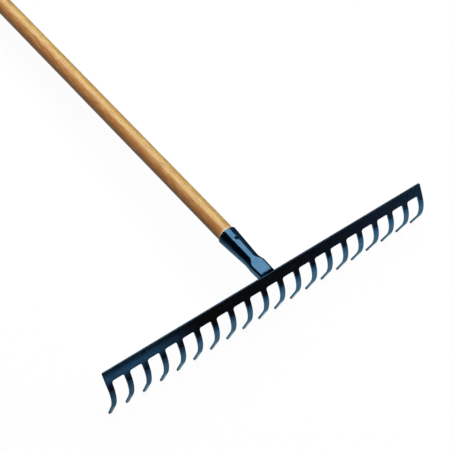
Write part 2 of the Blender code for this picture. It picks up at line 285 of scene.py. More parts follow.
class Finish:
    """A node tree that is written as expressions."""

    def __init__(self, tree):
        self.tree = tree

    def add(self, kind, settings=None, sockets=None, output=0):
        """Adds a node, sets what it is and then its sockets, and gives one of its outputs as a Value."""
        node = self.tree.nodes.new(kind)
        for key, value in (settings or {}).items():
            setattr(node, key, value)
        for key, value in (sockets or {}).items():
            self.feed(node.inputs[key], value)
        return Value(self, node.outputs[output])

    def feed(self, socket, value):
        if isinstance(value, Value):
            self.tree.links.new(value.socket, socket)
        elif socket.type == "RGBA":
            socket.default_value = (*value, 1)
        else:
            socket.default_value = value

    def place(self):
        """The point of the surface in the tool's own frame."""
        return self.add("ShaderNodeTexCoord", output="Object")

    def mark(self, name):
        """A number that the mesh carries at its points."""
        return self.add("ShaderNodeAttribute", {"attribute_name": name}, output="Fac")

    def math(self, operation, first, second):
        return self.add("ShaderNodeMath", {"operation": operation}, {0: first, 1: second})

    def vector(self, operation, first, second=(0, 0, 0), output=0):
        return self.add("ShaderNodeVectorMath", {"operation": operation}, {0: first, 1: second}, output)

    def long_grain(self, place, stretch):
        """The place squeezed along the handle's axis: a pattern in it is drawn out that many times."""
        return self.vector("MULTIPLY", place, (1, 1 / stretch, 1))

    def parts(self, vector):
        """The x, y and z of a vector."""
        split = self.add("ShaderNodeSeparateXYZ", sockets={0: vector}).socket.node
        return [Value(self, socket) for socket in split.outputs]

    def clouds(self, vector, size, detail=2.0, output=0):
        """Noise from 0 to 1 whose patches have about this size in metres."""
        sockets = {"Vector": vector, "Scale": 1 / size, "Detail": detail}
        return self.add("ShaderNodeTexNoise", sockets=sockets, output=output)

    def wandering(self, place, along, size, reach):
        """A place that strays by up to half the reach, in patches of this size of another vector."""
        cloud = self.clouds(along, size, output="Color")
        stray = self.vector("SUBTRACT", cloud, (0.5, 0.5, 0.5))
        return self.vector("ADD", place, self.vector("MULTIPLY", stray, (reach, 0, reach)))

    def step_between(self, value, low, high):
        """0 at low and 1 at high, eased in between."""
        settings = {"interpolation_type": "SMOOTHSTEP"}
        sockets = {"Value": value, "From Min": low, "From Max": high}
        return self.add("ShaderNodeMapRange", settings, sockets)

    def blend(self, share, first, second):
        """A mix of two colours."""
        sockets = {"Factor": share, 6: first, 7: second}
        return self.add("ShaderNodeMix", {"data_type": "RGBA"}, sockets, output=2)

    def bump(self, height, distance, normal=None):
        """The normal of a surface raised by height times distance in metres."""
        sockets = {"Height": height, "Distance": distance}
        if normal:
            sockets["Normal"] = normal
        return self.add("ShaderNodeBump", sockets=sockets)

    def seen(self):
        """1 for what the camera and glass see, 1 for what a gloss mirrors, and 0 for any other light."""
        rays = self.add("ShaderNodeLightPath").socket.node.outputs
        camera, through = Value(self, rays["Is Camera Ray"]), Value(self, rays["Is Transmission Ray"])
        return self.math("MAXIMUM", camera, through), Value(self, rays["Is Glossy Ray"])


def principled(name, varying, **fixed):
    """A material with the surface sockets that vary, from a function of its Finish, and the fixed ones."""
    made = bpy.data.materials.new(name)
    made.use_nodes = True
    finish = Finish(made.node_tree)
    shader = made.node_tree.nodes["Principled BSDF"]
    for key, value in (fixed | varying(finish)).items():
        finish.feed(shader.inputs[key.replace("_", " ")], value)
    return made


def glowing(name, varying, base=(0, 0, 0)):
    """A matt material whose glow varies."""
    fixed = {"Base_Color": base, "Roughness": 1.0, "Specular_IOR_Level": 0.0, "Emission_Strength": 1.0}
    return principled(name, varying, **fixed)


def blue_black_enamel(name, colours, sag):
    """Thick glossy enamel: it runs thin over edges, sags a little, and is chipped off the tines' tips, where
    painted shade also darkens them.
    """

    def varying(finish):
        place = finish.place()
        drift = finish.step_between(finish.clouds(place, 0.006, detail=4.0), 0.34, 0.66)
        thin = finish.mark("edge") * 0.4 + drift * 0.6
        dust = finish.step_between(finish.clouds(place, 0.0011), 0.62, 0.78)
        chips = finish.clouds(place, 0.0014, detail=3.0)
        # The tips' share: chipped enamel, and painted shade that darkens the tines towards their ends.
        worn = finish.step_between(finish.mark("tip") + (chips - 0.5) * 1.6, 0.42, 0.68)
        waves = finish.bump(finish.clouds(place, 0.010, detail=1.0), sag)
        peel = finish.bump(finish.clouds(place, 0.0016, detail=1.0), 0.00002, waves)
        enamel = finish.blend(thin, colours.enamel, colours.enamel_thin)
        return {
            "Base_Color": finish.blend(worn, enamel, colours.tip_wear_and_shade),
            "Roughness": 0.10 + drift * 0.04 + dust * 0.08 + worn * 0.3,
            "Normal": peel,
        }

    fixed = {"Metallic": 1.0, "Specular_Tint": (0.38, 0.52, 0.60)}
    return principled(name, varying, Coat_Weight=0.2, Coat_Roughness=0.05, **fixed)


def varnished_wood(name, colours, mouth_y):
    """Straight-grained wood under satin varnish, brown on the left, pale on top and darker on the right: wood
    tones, with painted shade on the left and the right.
    """
    pith = (0.020, 0, 0.045)
    ring_width = 0.0026
    butt_end = (BUTT_Y - 0.0022, BUTT_Y - 0.0008)
    # Where the painted highlight past the socket's mouth fades out.
    highlight_fade = (mouth_y + 0.0026, mouth_y + 0.0036)

    def varying(finish):
        place = finish.place()
        slow = finish.long_grain(place, 9)
        bent_place = finish.wandering(place, slow, 0.012, 0.005)
        across = finish.parts(bent_place)[0]
        along = finish.parts(place)[1]
        end_grain = finish.step_between(along, *butt_end)
        flat_place = finish.vector("MULTIPLY", finish.vector("ADD", bent_place, pith), (1, 0, 1))
        ring = (finish.vector("LENGTH", flat_place, output="Value") * (1 / ring_width)) % 1.0
        late_wood = finish.step_between(ring, 0.45, 0.92) - finish.step_between(ring, 0.93, 1.0)
        streaks = finish.clouds(finish.long_grain(place, 40), 0.0045, detail=3.0)
        fibres = finish.clouds(finish.long_grain(place, 60), 0.0009, detail=3.0)
        pores = finish.step_between(finish.clouds(finish.long_grain(place, 22), 0.00055), 0.64, 0.74)
        # Heartwood on the left and sapwood on the right: wood tone, and painted shade on the left, the side
        # away from the light.
        sapwood_and_lit_side = finish.step_between(across + (streaks - 0.5) * 0.014, -0.0095, -0.0010)
        # Painted shade along the pole's right side, where the light falls off.
        right_shade_share = finish.step_between(across + (streaks - 0.5) * 0.008, 0.0005, 0.0065)
        two_sided_tone_and_shade = finish.blend(sapwood_and_lit_side, colours.heartwood, colours.sapwood)
        body = finish.blend(right_shade_share * 0.55, two_sided_tone_and_shade, colours.painted_right_shade)
        soaked = finish.blend(end_grain * 0.45, body, colours.heartwood)
        ringed = finish.blend(late_wood * (0.38 + end_grain * 0.4), soaked, colours.heartwood)
        streaked = finish.blend(finish.step_between(streaks, 0.45, 0.75) * 0.38, ringed, colours.heartwood)
        figure = finish.step_between(finish.clouds(finish.long_grain(place, 3), 0.009), 0.50, 0.68)
        figured = finish.blend(figure * 0.32, streaked, colours.heartwood)
        flecks = finish.clouds(finish.long_grain(place, 9), 0.0021)
        fleck_share = 1 - end_grain * 0.8
        dark_flecks = finish.step_between(flecks, 0.52, 0.70) * 0.38 * fleck_share
        dark_flecked = finish.blend(dark_flecks, figured, colours.pore)
        pale_flecks = finish.step_between(flecks, 0.48, 0.30) * 0.42 * fleck_share
        flecked = finish.blend(pale_flecks, dark_flecked, colours.pale_fleck)
        pored = finish.blend(pores * 0.45 + fibres * 0.16, flecked, colours.pore)
        relief = finish.bump(fibres - pores * 0.8, 0.00006)
        # Painted highlight: a pale band on the pole just past the socket's mouth.
        mouth_highlight_share = 1 - finish.step_between(along, *highlight_fade)
        return {
            "Base_Color": finish.blend(mouth_highlight_share * 0.8, pored, colours.mouth_highlight),
            "Roughness": 0.27 + fibres * 0.14 + pores * 0.1,
            "Normal": relief,
        }

    return principled(name, varying, Coat_Weight=0.2, Coat_Roughness=0.18)


def blackened_steel(name, colours):
    """A screw that was blackened and then scuffed by the driver."""

    def varying(finish):
        place = finish.place()
        scuffs = finish.step_between(finish.clouds(place, 0.0007, detail=3.0), 0.52, 0.70)
        worn = finish.blend(scuffs, colours.screw, colours.screw_worn)
        relief = finish.bump(finish.clouds(place, 0.0003), 0.00003)
        return {"Base_Color": worn, "Roughness": 0.42 + scuffs * 0.16, "Normal": relief}

    return principled(name, varying, Metallic=0.9)


# Meshes.


def new_object(name, data):
    made = bpy.data.objects.new(name, data)
    bpy.context.scene.collection.objects.link(made)
    return made


def add_piece(name, bm, node, finish):
    """Closes a bmesh in the tool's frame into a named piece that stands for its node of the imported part."""
    old = bpy.data.objects.get(name)
    if old:
        bpy.data.objects.remove(old)
    made = solid(name, bm)
    made.data.materials.append(finish)
    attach(made, BODY)
    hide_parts(node)
    return made


def solid(name, bm):
    """Closes a bmesh in the tool's frame into an object in its place."""
    bmesh.ops.recalc_face_normals(bm, faces=bm.faces)
    mesh = bpy.data.meshes.new(name)
    bm.to_mesh(mesh)
    bm.free()
    mesh.shade_smooth()
    mesh.set_sharp_from_angle(angle=SHARP_ANGLE)
    made = new_object(name, mesh)
    made.matrix_world = tool_matrix()
    return made


def cut_out(piece, cutter):
    """Takes the cutter's solid out of the piece for good."""
    boolean = piece.modifiers.new("Cut", "BOOLEAN")
    boolean.operation = "DIFFERENCE"
    boolean.object = cutter
    evaluated = piece.evaluated_get(bpy.context.evaluated_depsgraph_get())
    uncut, piece.data = piece.data, bpy.data.meshes.new_from_object(evaluated)
    piece.modifiers.remove(boolean)
    clean_up(piece.data)
    piece.data.set_sharp_from_angle(angle=SHARP_ANGLE)
    bpy.data.meshes.remove(uncut)
    bpy.data.objects.remove(cutter)


def clean_up(mesh):
    """Splits the many-sided faces round a cut and takes out the slivers among them."""
    bm = bmesh.new()
    bm.from_mesh(mesh)
    bmesh.ops.remove_doubles(bm, verts=bm.verts, dist=SLIVER)
    many_sided = [face for face in bm.faces if len(face.verts) > 4]
    bmesh.ops.triangulate(bm, faces=many_sided, ngon_method="BEAUTY")
    bmesh.ops.dissolve_degenerate(bm, dist=SLIVER, edges=bm.edges)
    bm.to_mesh(mesh)
    bm.free()


def even_out_shading(piece):
    """Lets the large faces set the normals, so that flats stay flat and only their rounded edges turn."""
    weighted = piece.modifiers.new("Even shading", "WEIGHTED_NORMAL")
    weighted.keep_sharp = True


def loft(rings, ends_meet=False):
    """A skin through rings of points. Its two ends are capped, or joined to each other when they meet."""
    bm = bmesh.new()
    rows = [[bm.verts.new(point) for point in ring] for ring in rings]
    spans = list(zip(rows, rows[1:]))
    if ends_meet:
        spans.append((rows[-1], rows[0]))
    else:
        bm.faces.new(rows[0])
        bm.faces.new(rows[-1])
    for row, next_row in spans:
        for index in range(len(row)):
            following = (index + 1) % len(row)
            bm.faces.new((row[index], row[following], next_row[following], next_row[index]))
    return bm


def circle(sides):
    """Points round a circle of radius 1."""
    turns = [2 * math.pi * side / sides for side in range(sides)]
    return [(math.cos(turn), math.sin(turn)) for turn in turns]


def put_in_order(bm):
    """Lists the points and faces by their places, because creasing leaves them in any order."""

    def corners(face):
        return sorted(vert.index for vert in face.verts)

    for index, vert in enumerate(sorted(bm.verts, key=lambda vert: vert.co.to_tuple())):
        vert.index = index
    bm.verts.sort()
    for index, face in enumerate(sorted(bm.faces, key=corners)):
        face.index = index
    bm.faces.sort()


# The head: a strip of steel, punched to a comb and bent.


def heading(slope):
    """The way down the strip, as (y, z), where it slopes this much below the horizontal."""
    return Vector((-math.cos(slope), -math.sin(slope)))


def back_normal(slope):
    """Straight out of the strip's back, the side that the handle is on."""
    return Vector((math.sin(slope), -math.cos(slope)))


class HeadShape:
    """The punched and bent strip. Distances along it are measured from the bar's top edge."""

    ARC_STEPS = 8
    BEND_STEPS = 24
    EDGE_STEPS = 3
    # How far up from a tine's end its darker steel reaches: chipped enamel and painted shade.
    TIP_WEAR_AND_SHADE = 0.012

    def __init__(self, sizes):
        self.sizes = sizes
        self.gaps = sizes.tines - 1
        self.half_length = (self.gaps * sizes.pitch + sizes.root_width) / 2
        self.bend_start = sizes.bar_width + sizes.root_straight
        self.bend_length = sizes.bend_radius * sizes.bend_angle
        self.width = self.bend_start + self.bend_length + sizes.tip_straight
        if sizes.root_width + 2 * sizes.gap_corner >= sizes.pitch:
            raise ValueError("the tines are too wide for their pitch")

    def bent(self, along, depth, curl=0.0):
        """The (y, z) of a point after bending, depth behind the middle of the strip's thickness."""
        sizes = self.sizes
        radius = sizes.bend_radius / (1 + curl)
        gaps = Vector((0, -sizes.gaps_below))
        first, out = heading(sizes.bar_slope), back_normal(sizes.bar_slope)
        centre = gaps + first * sizes.root_straight + out * radius
        past = along - self.bend_start
        slope = sizes.bar_slope + limited(past, 0, self.bend_length) / radius
        straight = min(past, 0) + max(past - self.bend_length, 0)
        return centre + heading(slope) * straight + back_normal(slope) * (depth - radius)

    def bar_back_y(self, z):
        """Where the flat back of the bar is at this height."""
        top = self.bent(0, self.sizes.steel / 2)
        return top.x + (z - top.y) / math.tan(self.sizes.bar_slope)

    def arc(self, x, along, radius, start, sweep):
        """Points of a rounded corner, from one tangent point to the other."""
        turns = [start + sweep * share for share in steps(self.ARC_STEPS)]
        return [(x + radius * math.cos(turn), along + radius * math.sin(turn)) for turn in turns]

    def tine_outline(self, x):
        """One tine on the flat strip, from the gap on its right, round its tip, to the gap on its left."""
        sizes = self.sizes
        corner = sizes.gap_corner
        root = sizes.root_width / 2
        tip = sizes.tip_width / 2 - sizes.tip_corner
        gap_along = sizes.bar_width + corner
        tip_along = self.width - sizes.tip_corner
        right = self.arc(x + root + corner, gap_along, corner, 3 * QUARTER, -QUARTER)
        if x + root > self.half_length - corner:
            right = [(self.half_length, sizes.bar_width)]
        left = self.arc(x - root - corner, gap_along, corner, 0, -QUARTER)
        if x - root < corner - self.half_length:
            left = [(-self.half_length, sizes.bar_width)]
        return (
            right
            + self.arc(x + tip, tip_along, sizes.tip_corner, 0, QUARTER)
            + self.arc(x - tip, tip_along, sizes.tip_corner, QUARTER, QUARTER)
            + left
        )

    def outline(self):
        """The whole comb, as (x, distance along), from its top left corner round to its left end."""
        corner = self.sizes.bar_corner
        inset = self.half_length - corner
        points = self.arc(-inset, corner, corner, 2 * QUARTER, QUARTER)
        points += self.arc(inset, corner, corner, 3 * QUARTER, QUARTER)
        for index in reversed(range(self.sizes.tines)):
            points += self.tine_outline((index - self.gaps / 2) * self.sizes.pitch)
        return points

    def flat_comb(self):
        """The comb before bending, its edges rounded and marked, with creases for the bend and twist."""
        sizes = self.sizes
        bm = bmesh.new()
        front = [bm.verts.new((x, -sizes.steel / 2, -along)) for x, along in self.outline()]
        geometry = bmesh.ops.extrude_face_region(bm, geom=[bm.faces.new(front)])["geom"]
        back = [item for item in geometry if isinstance(item, bmesh.types.BMVert)]
        bmesh.ops.translate(bm, vec=(0, sizes.steel, 0), verts=back)
        bm.normal_update()
        rims = [edge for edge in bm.edges if edge.calc_face_angle(0) > SHARP_ANGLE]
        rounding = {"offset": sizes.edge, "segments": self.EDGE_STEPS, "profile": 0.5, "affect": "EDGES"}
        bmesh.ops.bevel(bm, geom=rims, **rounding)
        worn = bm.verts.layers.float.new("edge")
        for vert in bm.verts:
            below_face = sizes.steel / 2 - abs(vert.co.y)
            vert[worn] = float(0.02 * sizes.edge < below_face < 0.98 * sizes.edge)
        creases = [self.bend_start + self.bend_length * share for share in steps(self.BEND_STEPS)]
        for along in creases + [self.width - self.TIP_WEAR_AND_SHADE]:
            self.crease(bm, (0, 0, -along), (0, 0, 1))
        for half_pitch in range(2 * self.gaps + 1):
            self.crease(bm, ((half_pitch - self.gaps) * sizes.pitch / 2, 0, 0), (1, 0, 0))
        return bm

    def crease(self, bm, place, across):
        everything = bm.verts[:] + bm.edges[:] + bm.faces[:]
        bmesh.ops.bisect_plane(bm, geom=everything, plane_co=place, plane_no=across)

    def mesh(self):
        """The bent comb, on which each tine leans and curls a little in its own way."""
        sizes = self.sizes
        chance = random.Random(20)
        leans = [chance.uniform(-sizes.lean, sizes.lean) for _ in range(sizes.tines)]
        curls = [chance.uniform(0, sizes.curl) for _ in range(sizes.tines)]
        bm = self.flat_comb()
        # Marks the tips for their darker steel: chipped enamel and painted shade.
        tip_wear_and_shade = bm.verts.layers.float.new("tip")
        for vert in bm.verts:
            along = -vert.co.z
            vert[tip_wear_and_shade] = limited((along - self.width) / self.TIP_WEAR_AND_SHADE + 1, 0, 1)
            index = limited(round(vert.co.x / sizes.pitch + self.gaps / 2), 0, self.gaps)
            past_share = max(along - self.bend_start, 0) / (self.width - self.bend_start)
            vert.co.x += leans[index] * past_share * past_share
            vert.co.yz = self.twisted(vert.co.x, self.bent(along, vert.co.y, curls[index]))
        put_in_order(bm)
        return bm

    def twisted(self, x, point):
        """A bent (y, z) point turned with its part of the head: forwards on the left, back on the right."""
        turn = Matrix.Rotation(self.sizes.twist / 2 * x / self.half_length, 2)
        pivot = Vector((0, -self.sizes.gaps_below))
        return pivot + turn @ (point - pivot)


# The socket: a round tapered tube, pressed to a neck like a box with round corners.


class SocketShape:
    SIDES = 144
    TAPER_STEPS = 20
    PRESSED_STEPS = 18
    NECK_STEPS = 6
    LIP_STEPS = 4
    PRESS_START = 0.2
    WAVER_SIZE = 0.011

    def __init__(self, sizes, head):
        self.sizes = sizes
        self.head = head

    def diameter(self, y):
        sizes = self.sizes
        share = (y - sizes.taper_end_y) / (sizes.mouth_y - sizes.taper_end_y)
        return mix(sizes.taper_end_diameter, sizes.mouth_diameter, share)

    def section(self, y):
        """Outer (width, height, corner, rise) at a distance along the handle's axis."""
        sizes = self.sizes
        if y >= sizes.taper_end_y:
            return self.diameter(y), self.diameter(y), self.diameter(y) / 2, 0
        if y <= sizes.shoulder_y:
            width = mix(sizes.neck_end_width, sizes.shoulder_width, max(y, 0) / sizes.shoulder_y)
            return width, sizes.neck_height, sizes.neck_corner, sizes.neck_rise
        share = (sizes.taper_end_y - y) / (sizes.taper_end_y - sizes.shoulder_y)
        eased = smooth_share(limited((share - self.PRESS_START) / (1 - self.PRESS_START), 0, 1))
        width = mix(sizes.taper_end_diameter, sizes.shoulder_width, share * share)
        height = mix(sizes.taper_end_diameter, sizes.neck_height, eased)
        corner = mix(sizes.taper_end_diameter / 2, sizes.neck_corner, eased)
        return width, height, min(corner, width / 2, height / 2), sizes.neck_rise * eased

    def way_round(self, section, inset, share):
        """The (x, z) at this share of the way round a section, from the middle of its top."""
        width, height, corner, rise = section
        flat, side, radius = width / 2 - corner, height / 2 - corner, corner - inset
        quarter = flat + side + radius * QUARTER
        lap, rest = divmod(share * 4, 1)
        reach = quarter * (1 - rest if lap in (1, 3) else rest)
        if reach < flat:
            x, z = reach, height / 2 - inset
        elif reach < quarter - side:
            turn = (reach - flat) / radius
            x, z = flat + radius * math.sin(turn), side + radius * math.cos(turn)
        else:
            x, z = width / 2 - inset, quarter - reach
        return x if lap < 2 else -x, rise + (z if lap in (0, 3) else -z)

    def ring(self, y, inset, y_at=None):
        """A ring at y, or at the y that y_at gives for each height; it wavers a little along the tube."""
        section = self.section(y)
        points = []
        for side in range(self.SIDES):
            x, z = self.way_round(section, inset, side / self.SIDES)
            place_y = y_at(z) if y_at else y
            stray = noise.noise(Vector((x, place_y, z)) / self.WAVER_SIZE) * self.sizes.waver
            out = Vector((x, z)).normalized() * stray
            points.append((x + out.x, place_y, z + out.y))
        return points

    def mouth(self):
        """(y, inset) round the mouth: the bore's small edge, the end face and the rounded outer edge."""
        sizes = self.sizes
        end, wall, lip, edge = sizes.mouth_y, sizes.wall, sizes.lip, sizes.lip / 2
        turns = [QUARTER * share for share in steps(self.LIP_STEPS)]
        bore = [(end - edge * (1 - math.sin(turn)), wall - edge * (1 - math.cos(turn))) for turn in turns]
        return bore + [(end - lip * (1 - math.cos(turn)), lip * (1 - math.sin(turn))) for turn in turns]

    def mesh(self):
        """The tube, open at its mouth and at its neck's end, which is buried a little in the bar's back."""
        sizes = self.sizes
        mouth = self.mouth()
        taper_top = mouth[-1][0]
        last_y = self.head.bar_back_y(sizes.neck_height) + sizes.wall
        ends = (taper_top, sizes.taper_end_y, sizes.shoulder_y, last_y)
        counts = (self.TAPER_STEPS, self.PRESSED_STEPS, self.NECK_STEPS)
        places = []
        for start, stop, count in zip(ends, ends[1:], counts):
            places += [mix(start, stop, share) for share in steps(count)[1:]]

        def end(inset):
            return self.ring(0, inset, lambda z: self.head.bar_back_y(z) - BURIED)

        outer = [self.ring(y, 0) for y in places] + [end(0)]
        inner = [self.ring(y, sizes.wall) for y in places] + [end(sizes.wall)]
        bm = loft([self.ring(y, inset) for y, inset in mouth] + outer + inner[::-1], ends_meet=True)
        worn = bm.verts.layers.float.new("edge")
        for vert in bm.verts:
            vert[worn] = float(vert.co.y > taper_top)
        return bm


def handle_mesh(sizes, tube):
    """A turned pole: tapered nose in the socket, straight shaft, and a rounded butt with a flat end."""
    sides, nose_steps, shaft_steps, butt_steps = 64, 10, 200, 8
    waver_round, waver_length = 1.5, 0.045
    radius = sizes.diameter / 2
    gap = tube.sizes.wall + sizes.bore_gap
    nose_end = sizes.nose_y + sizes.nose_chamfer
    nose_radius = tube.diameter(nose_end) / 2 - gap
    taper = (tube.sizes.mouth_diameter - tube.sizes.taper_end_diameter) / 2
    taper_length = tube.sizes.mouth_y - tube.sizes.taper_end_y
    full_y = nose_end + (radius - nose_radius) * taper_length / taper
    rounding = sizes.butt_rounding
    shaft_end = BUTT_Y - rounding
    outline = [(sizes.nose_y, nose_radius - sizes.nose_chamfer)]
    for share in steps(nose_steps):
        outline.append((mix(nose_end, full_y, share), mix(nose_radius, radius, share)))
    outline += [(mix(full_y, shaft_end, share), radius) for share in steps(shaft_steps)[1:]]
    for share in steps(butt_steps)[1:]:
        turn = QUARTER * share
        outline.append((shaft_end + rounding * math.sin(turn), radius - rounding * (1 - math.cos(turn))))
    rings = []
    for y, ring_radius in outline:
        clear_of_ends = limited((y - tube.sizes.mouth_y) / radius, 0, 1)
        clear_of_ends *= limited((BUTT_Y - y) / radius, 0, 1)
        ring = []
        for x, z in circle(sides):
            place = Vector((x * waver_round, y / waver_length, z * waver_round))
            wavy_radius = ring_radius + noise.noise(place) * sizes.waver * clear_of_ends
            ring.append((x * wavy_radius, y, z * wavy_radius))
        rings.append(ring)
    return loft(rings)


class ScrewShape:
    """A countersunk wood screw, down through the socket's top."""

    SIDES = 48
    THREAD_STEPS = 150
    CREST_SLOPE = 2.6
    CREST_START = 1.1
    POINT_SHARE = 0.12

    def __init__(self, sizes, tube):
        self.sizes = sizes
        self.top = tube.diameter(sizes.place_y) / 2 - sizes.sunk

    def ring(self, z, radius_at):
        points = []
        for side, (x, y) in enumerate(circle(self.SIDES)):
            radius = radius_at(side / self.SIDES)
            points.append((radius * x, self.sizes.place_y + radius * y, z))
        return points

    def thread_ring(self, z, thread_top, thread_end):
        """One ring of the thread, whose crest runs round once for each pitch."""
        sizes = self.sizes
        run_in = limited((thread_top - z) / sizes.thread_pitch, 0, 1)
        taper = limited((z - thread_end) / sizes.point, self.POINT_SHARE, 1)

        def radius_at(turn):
            phase = (turn + z / sizes.thread_pitch) % 1
            crest = limited(self.CREST_SLOPE * abs(2 * phase - 1) - self.CREST_START, 0, 1)
            return (sizes.shank_radius - sizes.thread_depth * (1 - crest) * run_in) * taper

        return self.ring(z, radius_at)

    def mesh(self):
        sizes = self.sizes
        neck_z = self.top - (sizes.head_radius - sizes.shank_radius)
        thread_top = neck_z - sizes.thread_pitch
        end = self.top - sizes.full_length
        rings = [self.ring(self.top, lambda turn: sizes.head_radius)]
        rings += [self.ring(neck_z, lambda turn: sizes.shank_radius)]
        for share in steps(self.THREAD_STEPS):
            rings.append(self.thread_ring(mix(thread_top, end, share), thread_top, end))
        return loft(rings)

    def hole(self):
        """The countersunk hole that clears the screw, reaching well above its head."""
        sizes = self.sizes
        spread = sizes.clearance
        cone = sizes.head_radius - sizes.shank_radius
        profile = [
            (self.top + sizes.head_radius, 2 * sizes.head_radius + spread),
            (self.top, sizes.head_radius + spread),
            (self.top - cone, sizes.shank_radius + spread),
            (self.top - sizes.full_length + sizes.point, sizes.shank_radius + spread),
            (self.top - sizes.full_length - spread, sizes.shank_radius / 4 + spread),
        ]
        return loft([self.ring(z, lambda turn, r=radius: r) for z, radius in profile])

    def slot(self):
        """The driver's slot across the head, along X."""
        sizes = self.sizes
        low, high = self.top - sizes.slot_depth, self.top + sizes.slot_depth
        near, far = sizes.place_y - sizes.slot_width / 2, sizes.place_y + sizes.slot_width / 2
        corners = [(near, low), (far, low), (far, high), (near, high)]
        reach = 2 * sizes.head_radius
        return loft([[(x, y, z) for y, z in corners] for x in (-reach, reach)])


class WeldShape:
    """The two beads between the neck and the bar, thick in their middle and rippled by the torch."""

    LONG_STEPS = 72
    FACE_STEPS = 24
    END_SIZE = 0.04
    CREST = 0.17
    FALL = 1.25
    RIPPLE_BOW = 0.8

    def __init__(self, sizes, tube, head):
        self.sizes = sizes
        self.tube = tube
        self.head = head

    def corner_drop(self, x):
        """How far the neck's round corner has dropped below its flat top at this x."""
        neck = self.tube.sizes
        past_flat = max(abs(x) - (neck.neck_end_width / 2 - neck.neck_corner), 0)
        return neck.neck_corner - math.sqrt(max(neck.neck_corner ** 2 - past_flat ** 2, 0))

    def bulge(self, step):
        """Share of the crown: quickly up to its crest near the neck's toe, then evenly down."""
        if step < self.CREST:
            return math.sin(QUARTER * step / self.CREST)
        return 1 - ((step - self.CREST) / (1 - self.CREST)) ** self.FALL

    def bead(self, ends_at, crown):
        """A bead along X whose face runs between the two toes that ends_at gives for its thickness."""
        sizes = self.sizes
        rings = []
        for share in steps(self.LONG_STEPS):
            reach = -math.cos(2 * QUARTER * share)
            size = mix(self.END_SIZE, 1, math.sqrt(max(1 - reach * reach, 0)))
            x = reach * sizes.half_length
            neck_toe, bar_toe, buried, out = ends_at(size, self.corner_drop(x))
            ring = []
            for step in steps(self.FACE_STEPS):
                wave = 2 * math.pi * (x / sizes.ripple_pitch + self.RIPPLE_BOW * (step - 0.5) ** 2)
                lift = crown * self.bulge(step) * size
                lift += sizes.ripple * math.cos(wave) * math.sin(2 * QUARTER * step) * size
                point = neck_toe.lerp(bar_toe, step) + out * lift
                ring.append((x, point.x, point.y))
            rings.append(ring + [(x, point.x, point.y) for point in buried])
        return loft(rings)

    def upper(self):
        """From the neck's top, over the edge of its end, down to the bar's top edge."""
        sizes, half_steel = self.sizes, self.head.sizes.steel / 2
        neck_top = self.tube.sizes.neck_rise + self.tube.sizes.neck_height / 2

        def ends_at(size, drop):
            top = neck_top - drop
            neck_toe = Vector((self.head.bar_back_y(top) + sizes.upper_neck_leg * size, top))
            bar_toe = self.head.bent(0, half_steel - sizes.upper_bar_leg * size)
            down = (bar_toe - neck_toe).normalized()
            below = Vector((0, -BURIED))
            sunk = back_normal(self.head.sizes.bar_slope) * -BURIED + below
            buried = [bar_toe + sunk, self.head.bent(BURIED, half_steel - BURIED), neck_toe + below]
            return neck_toe, bar_toe, buried, Vector((down.y, -down.x))

        return self.bead(ends_at, sizes.crown)

    def lower(self):
        """The corner of the neck's underside and the bar's back."""
        sizes = self.sizes
        neck_under = self.tube.sizes.neck_rise - self.tube.sizes.neck_height / 2
        down = heading(self.head.sizes.bar_slope)

        def ends_at(size, drop):
            under = neck_under + drop
            corner = Vector((self.head.bar_back_y(under), under))
            neck_toe = corner + Vector((sizes.lower_neck_leg * size, 0))
            bar_toe = corner + down * (sizes.lower_bar_leg * size)
            across = (bar_toe - neck_toe).normalized()
            return neck_toe, bar_toe, [corner + Vector((-BURIED, BURIED))], Vector((-across.y, across.x))

        return self.bead(ends_at, sizes.crown / 3)


# Operators, one for each piece or pair of like pieces and one for the stage.


class RAKE_OT_head(bpy.types.Operator):
    """Make the bar and its tines, a punched and bent strip of enamelled steel"""

    bl_idname = "rake.head"
    bl_label = "Head"

    def execute(self, context):
        rake = context.scene.rake
        finish = blue_black_enamel("head_enamel", rake.finish, sag=0.00006)
        piece = add_piece("head_steel", HeadShape(rake.head).mesh(), "rake_head", finish)
        even_out_shading(piece)
        return {"FINISHED"}


class RAKE_OT_socket(bpy.types.Operator):
    """Make the tapered socket with its pressed neck and its screw hole"""

    bl_idname = "rake.socket"
    bl_label = "Socket"

    def execute(self, context):
        rake = context.scene.rake
        tube = SocketShape(rake.socket, HeadShape(rake.head))
        finish = blue_black_enamel("socket_enamel", rake.finish, sag=0.00045)
        piece = add_piece("socket_tube", tube.mesh(), "socket", finish)
        cut_out(piece, solid("socket_hole", ScrewShape(rake.screw, tube).hole()))
        return {"FINISHED"}


class RAKE_OT_handle(bpy.types.Operator):
    """Make the varnished wooden pole"""

    bl_idname = "rake.handle"
    bl_label = "Handle"

    def execute(self, context):
        rake = context.scene.rake
        tube = SocketShape(rake.socket, HeadShape(rake.head))
        finish = varnished_wood("handle_varnish", rake.finish, rake.socket.mouth_y)
        piece = add_piece("handle_pole", handle_mesh(rake.handle, tube), "handle", finish)
        cut_out(piece, solid("handle_hole", ScrewShape(rake.screw, tube).hole()))
        return {"FINISHED"}


class RAKE_OT_screw(bpy.types.Operator):
    """Make the countersunk screw that holds the handle in the socket"""

    bl_idname = "rake.screw"
    bl_label = "Fixing screw"

    def execute(self, context):
        rake = context.scene.rake
        screw = ScrewShape(rake.screw, SocketShape(rake.socket, HeadShape(rake.head)))
        finish = blackened_steel("screw_black", rake.finish)
        piece = add_piece("screw_body", screw.mesh(), "fixing_screw", finish)
        cut_out(piece, solid("screw_slot", screw.slot()))
        return {"FINISHED"}


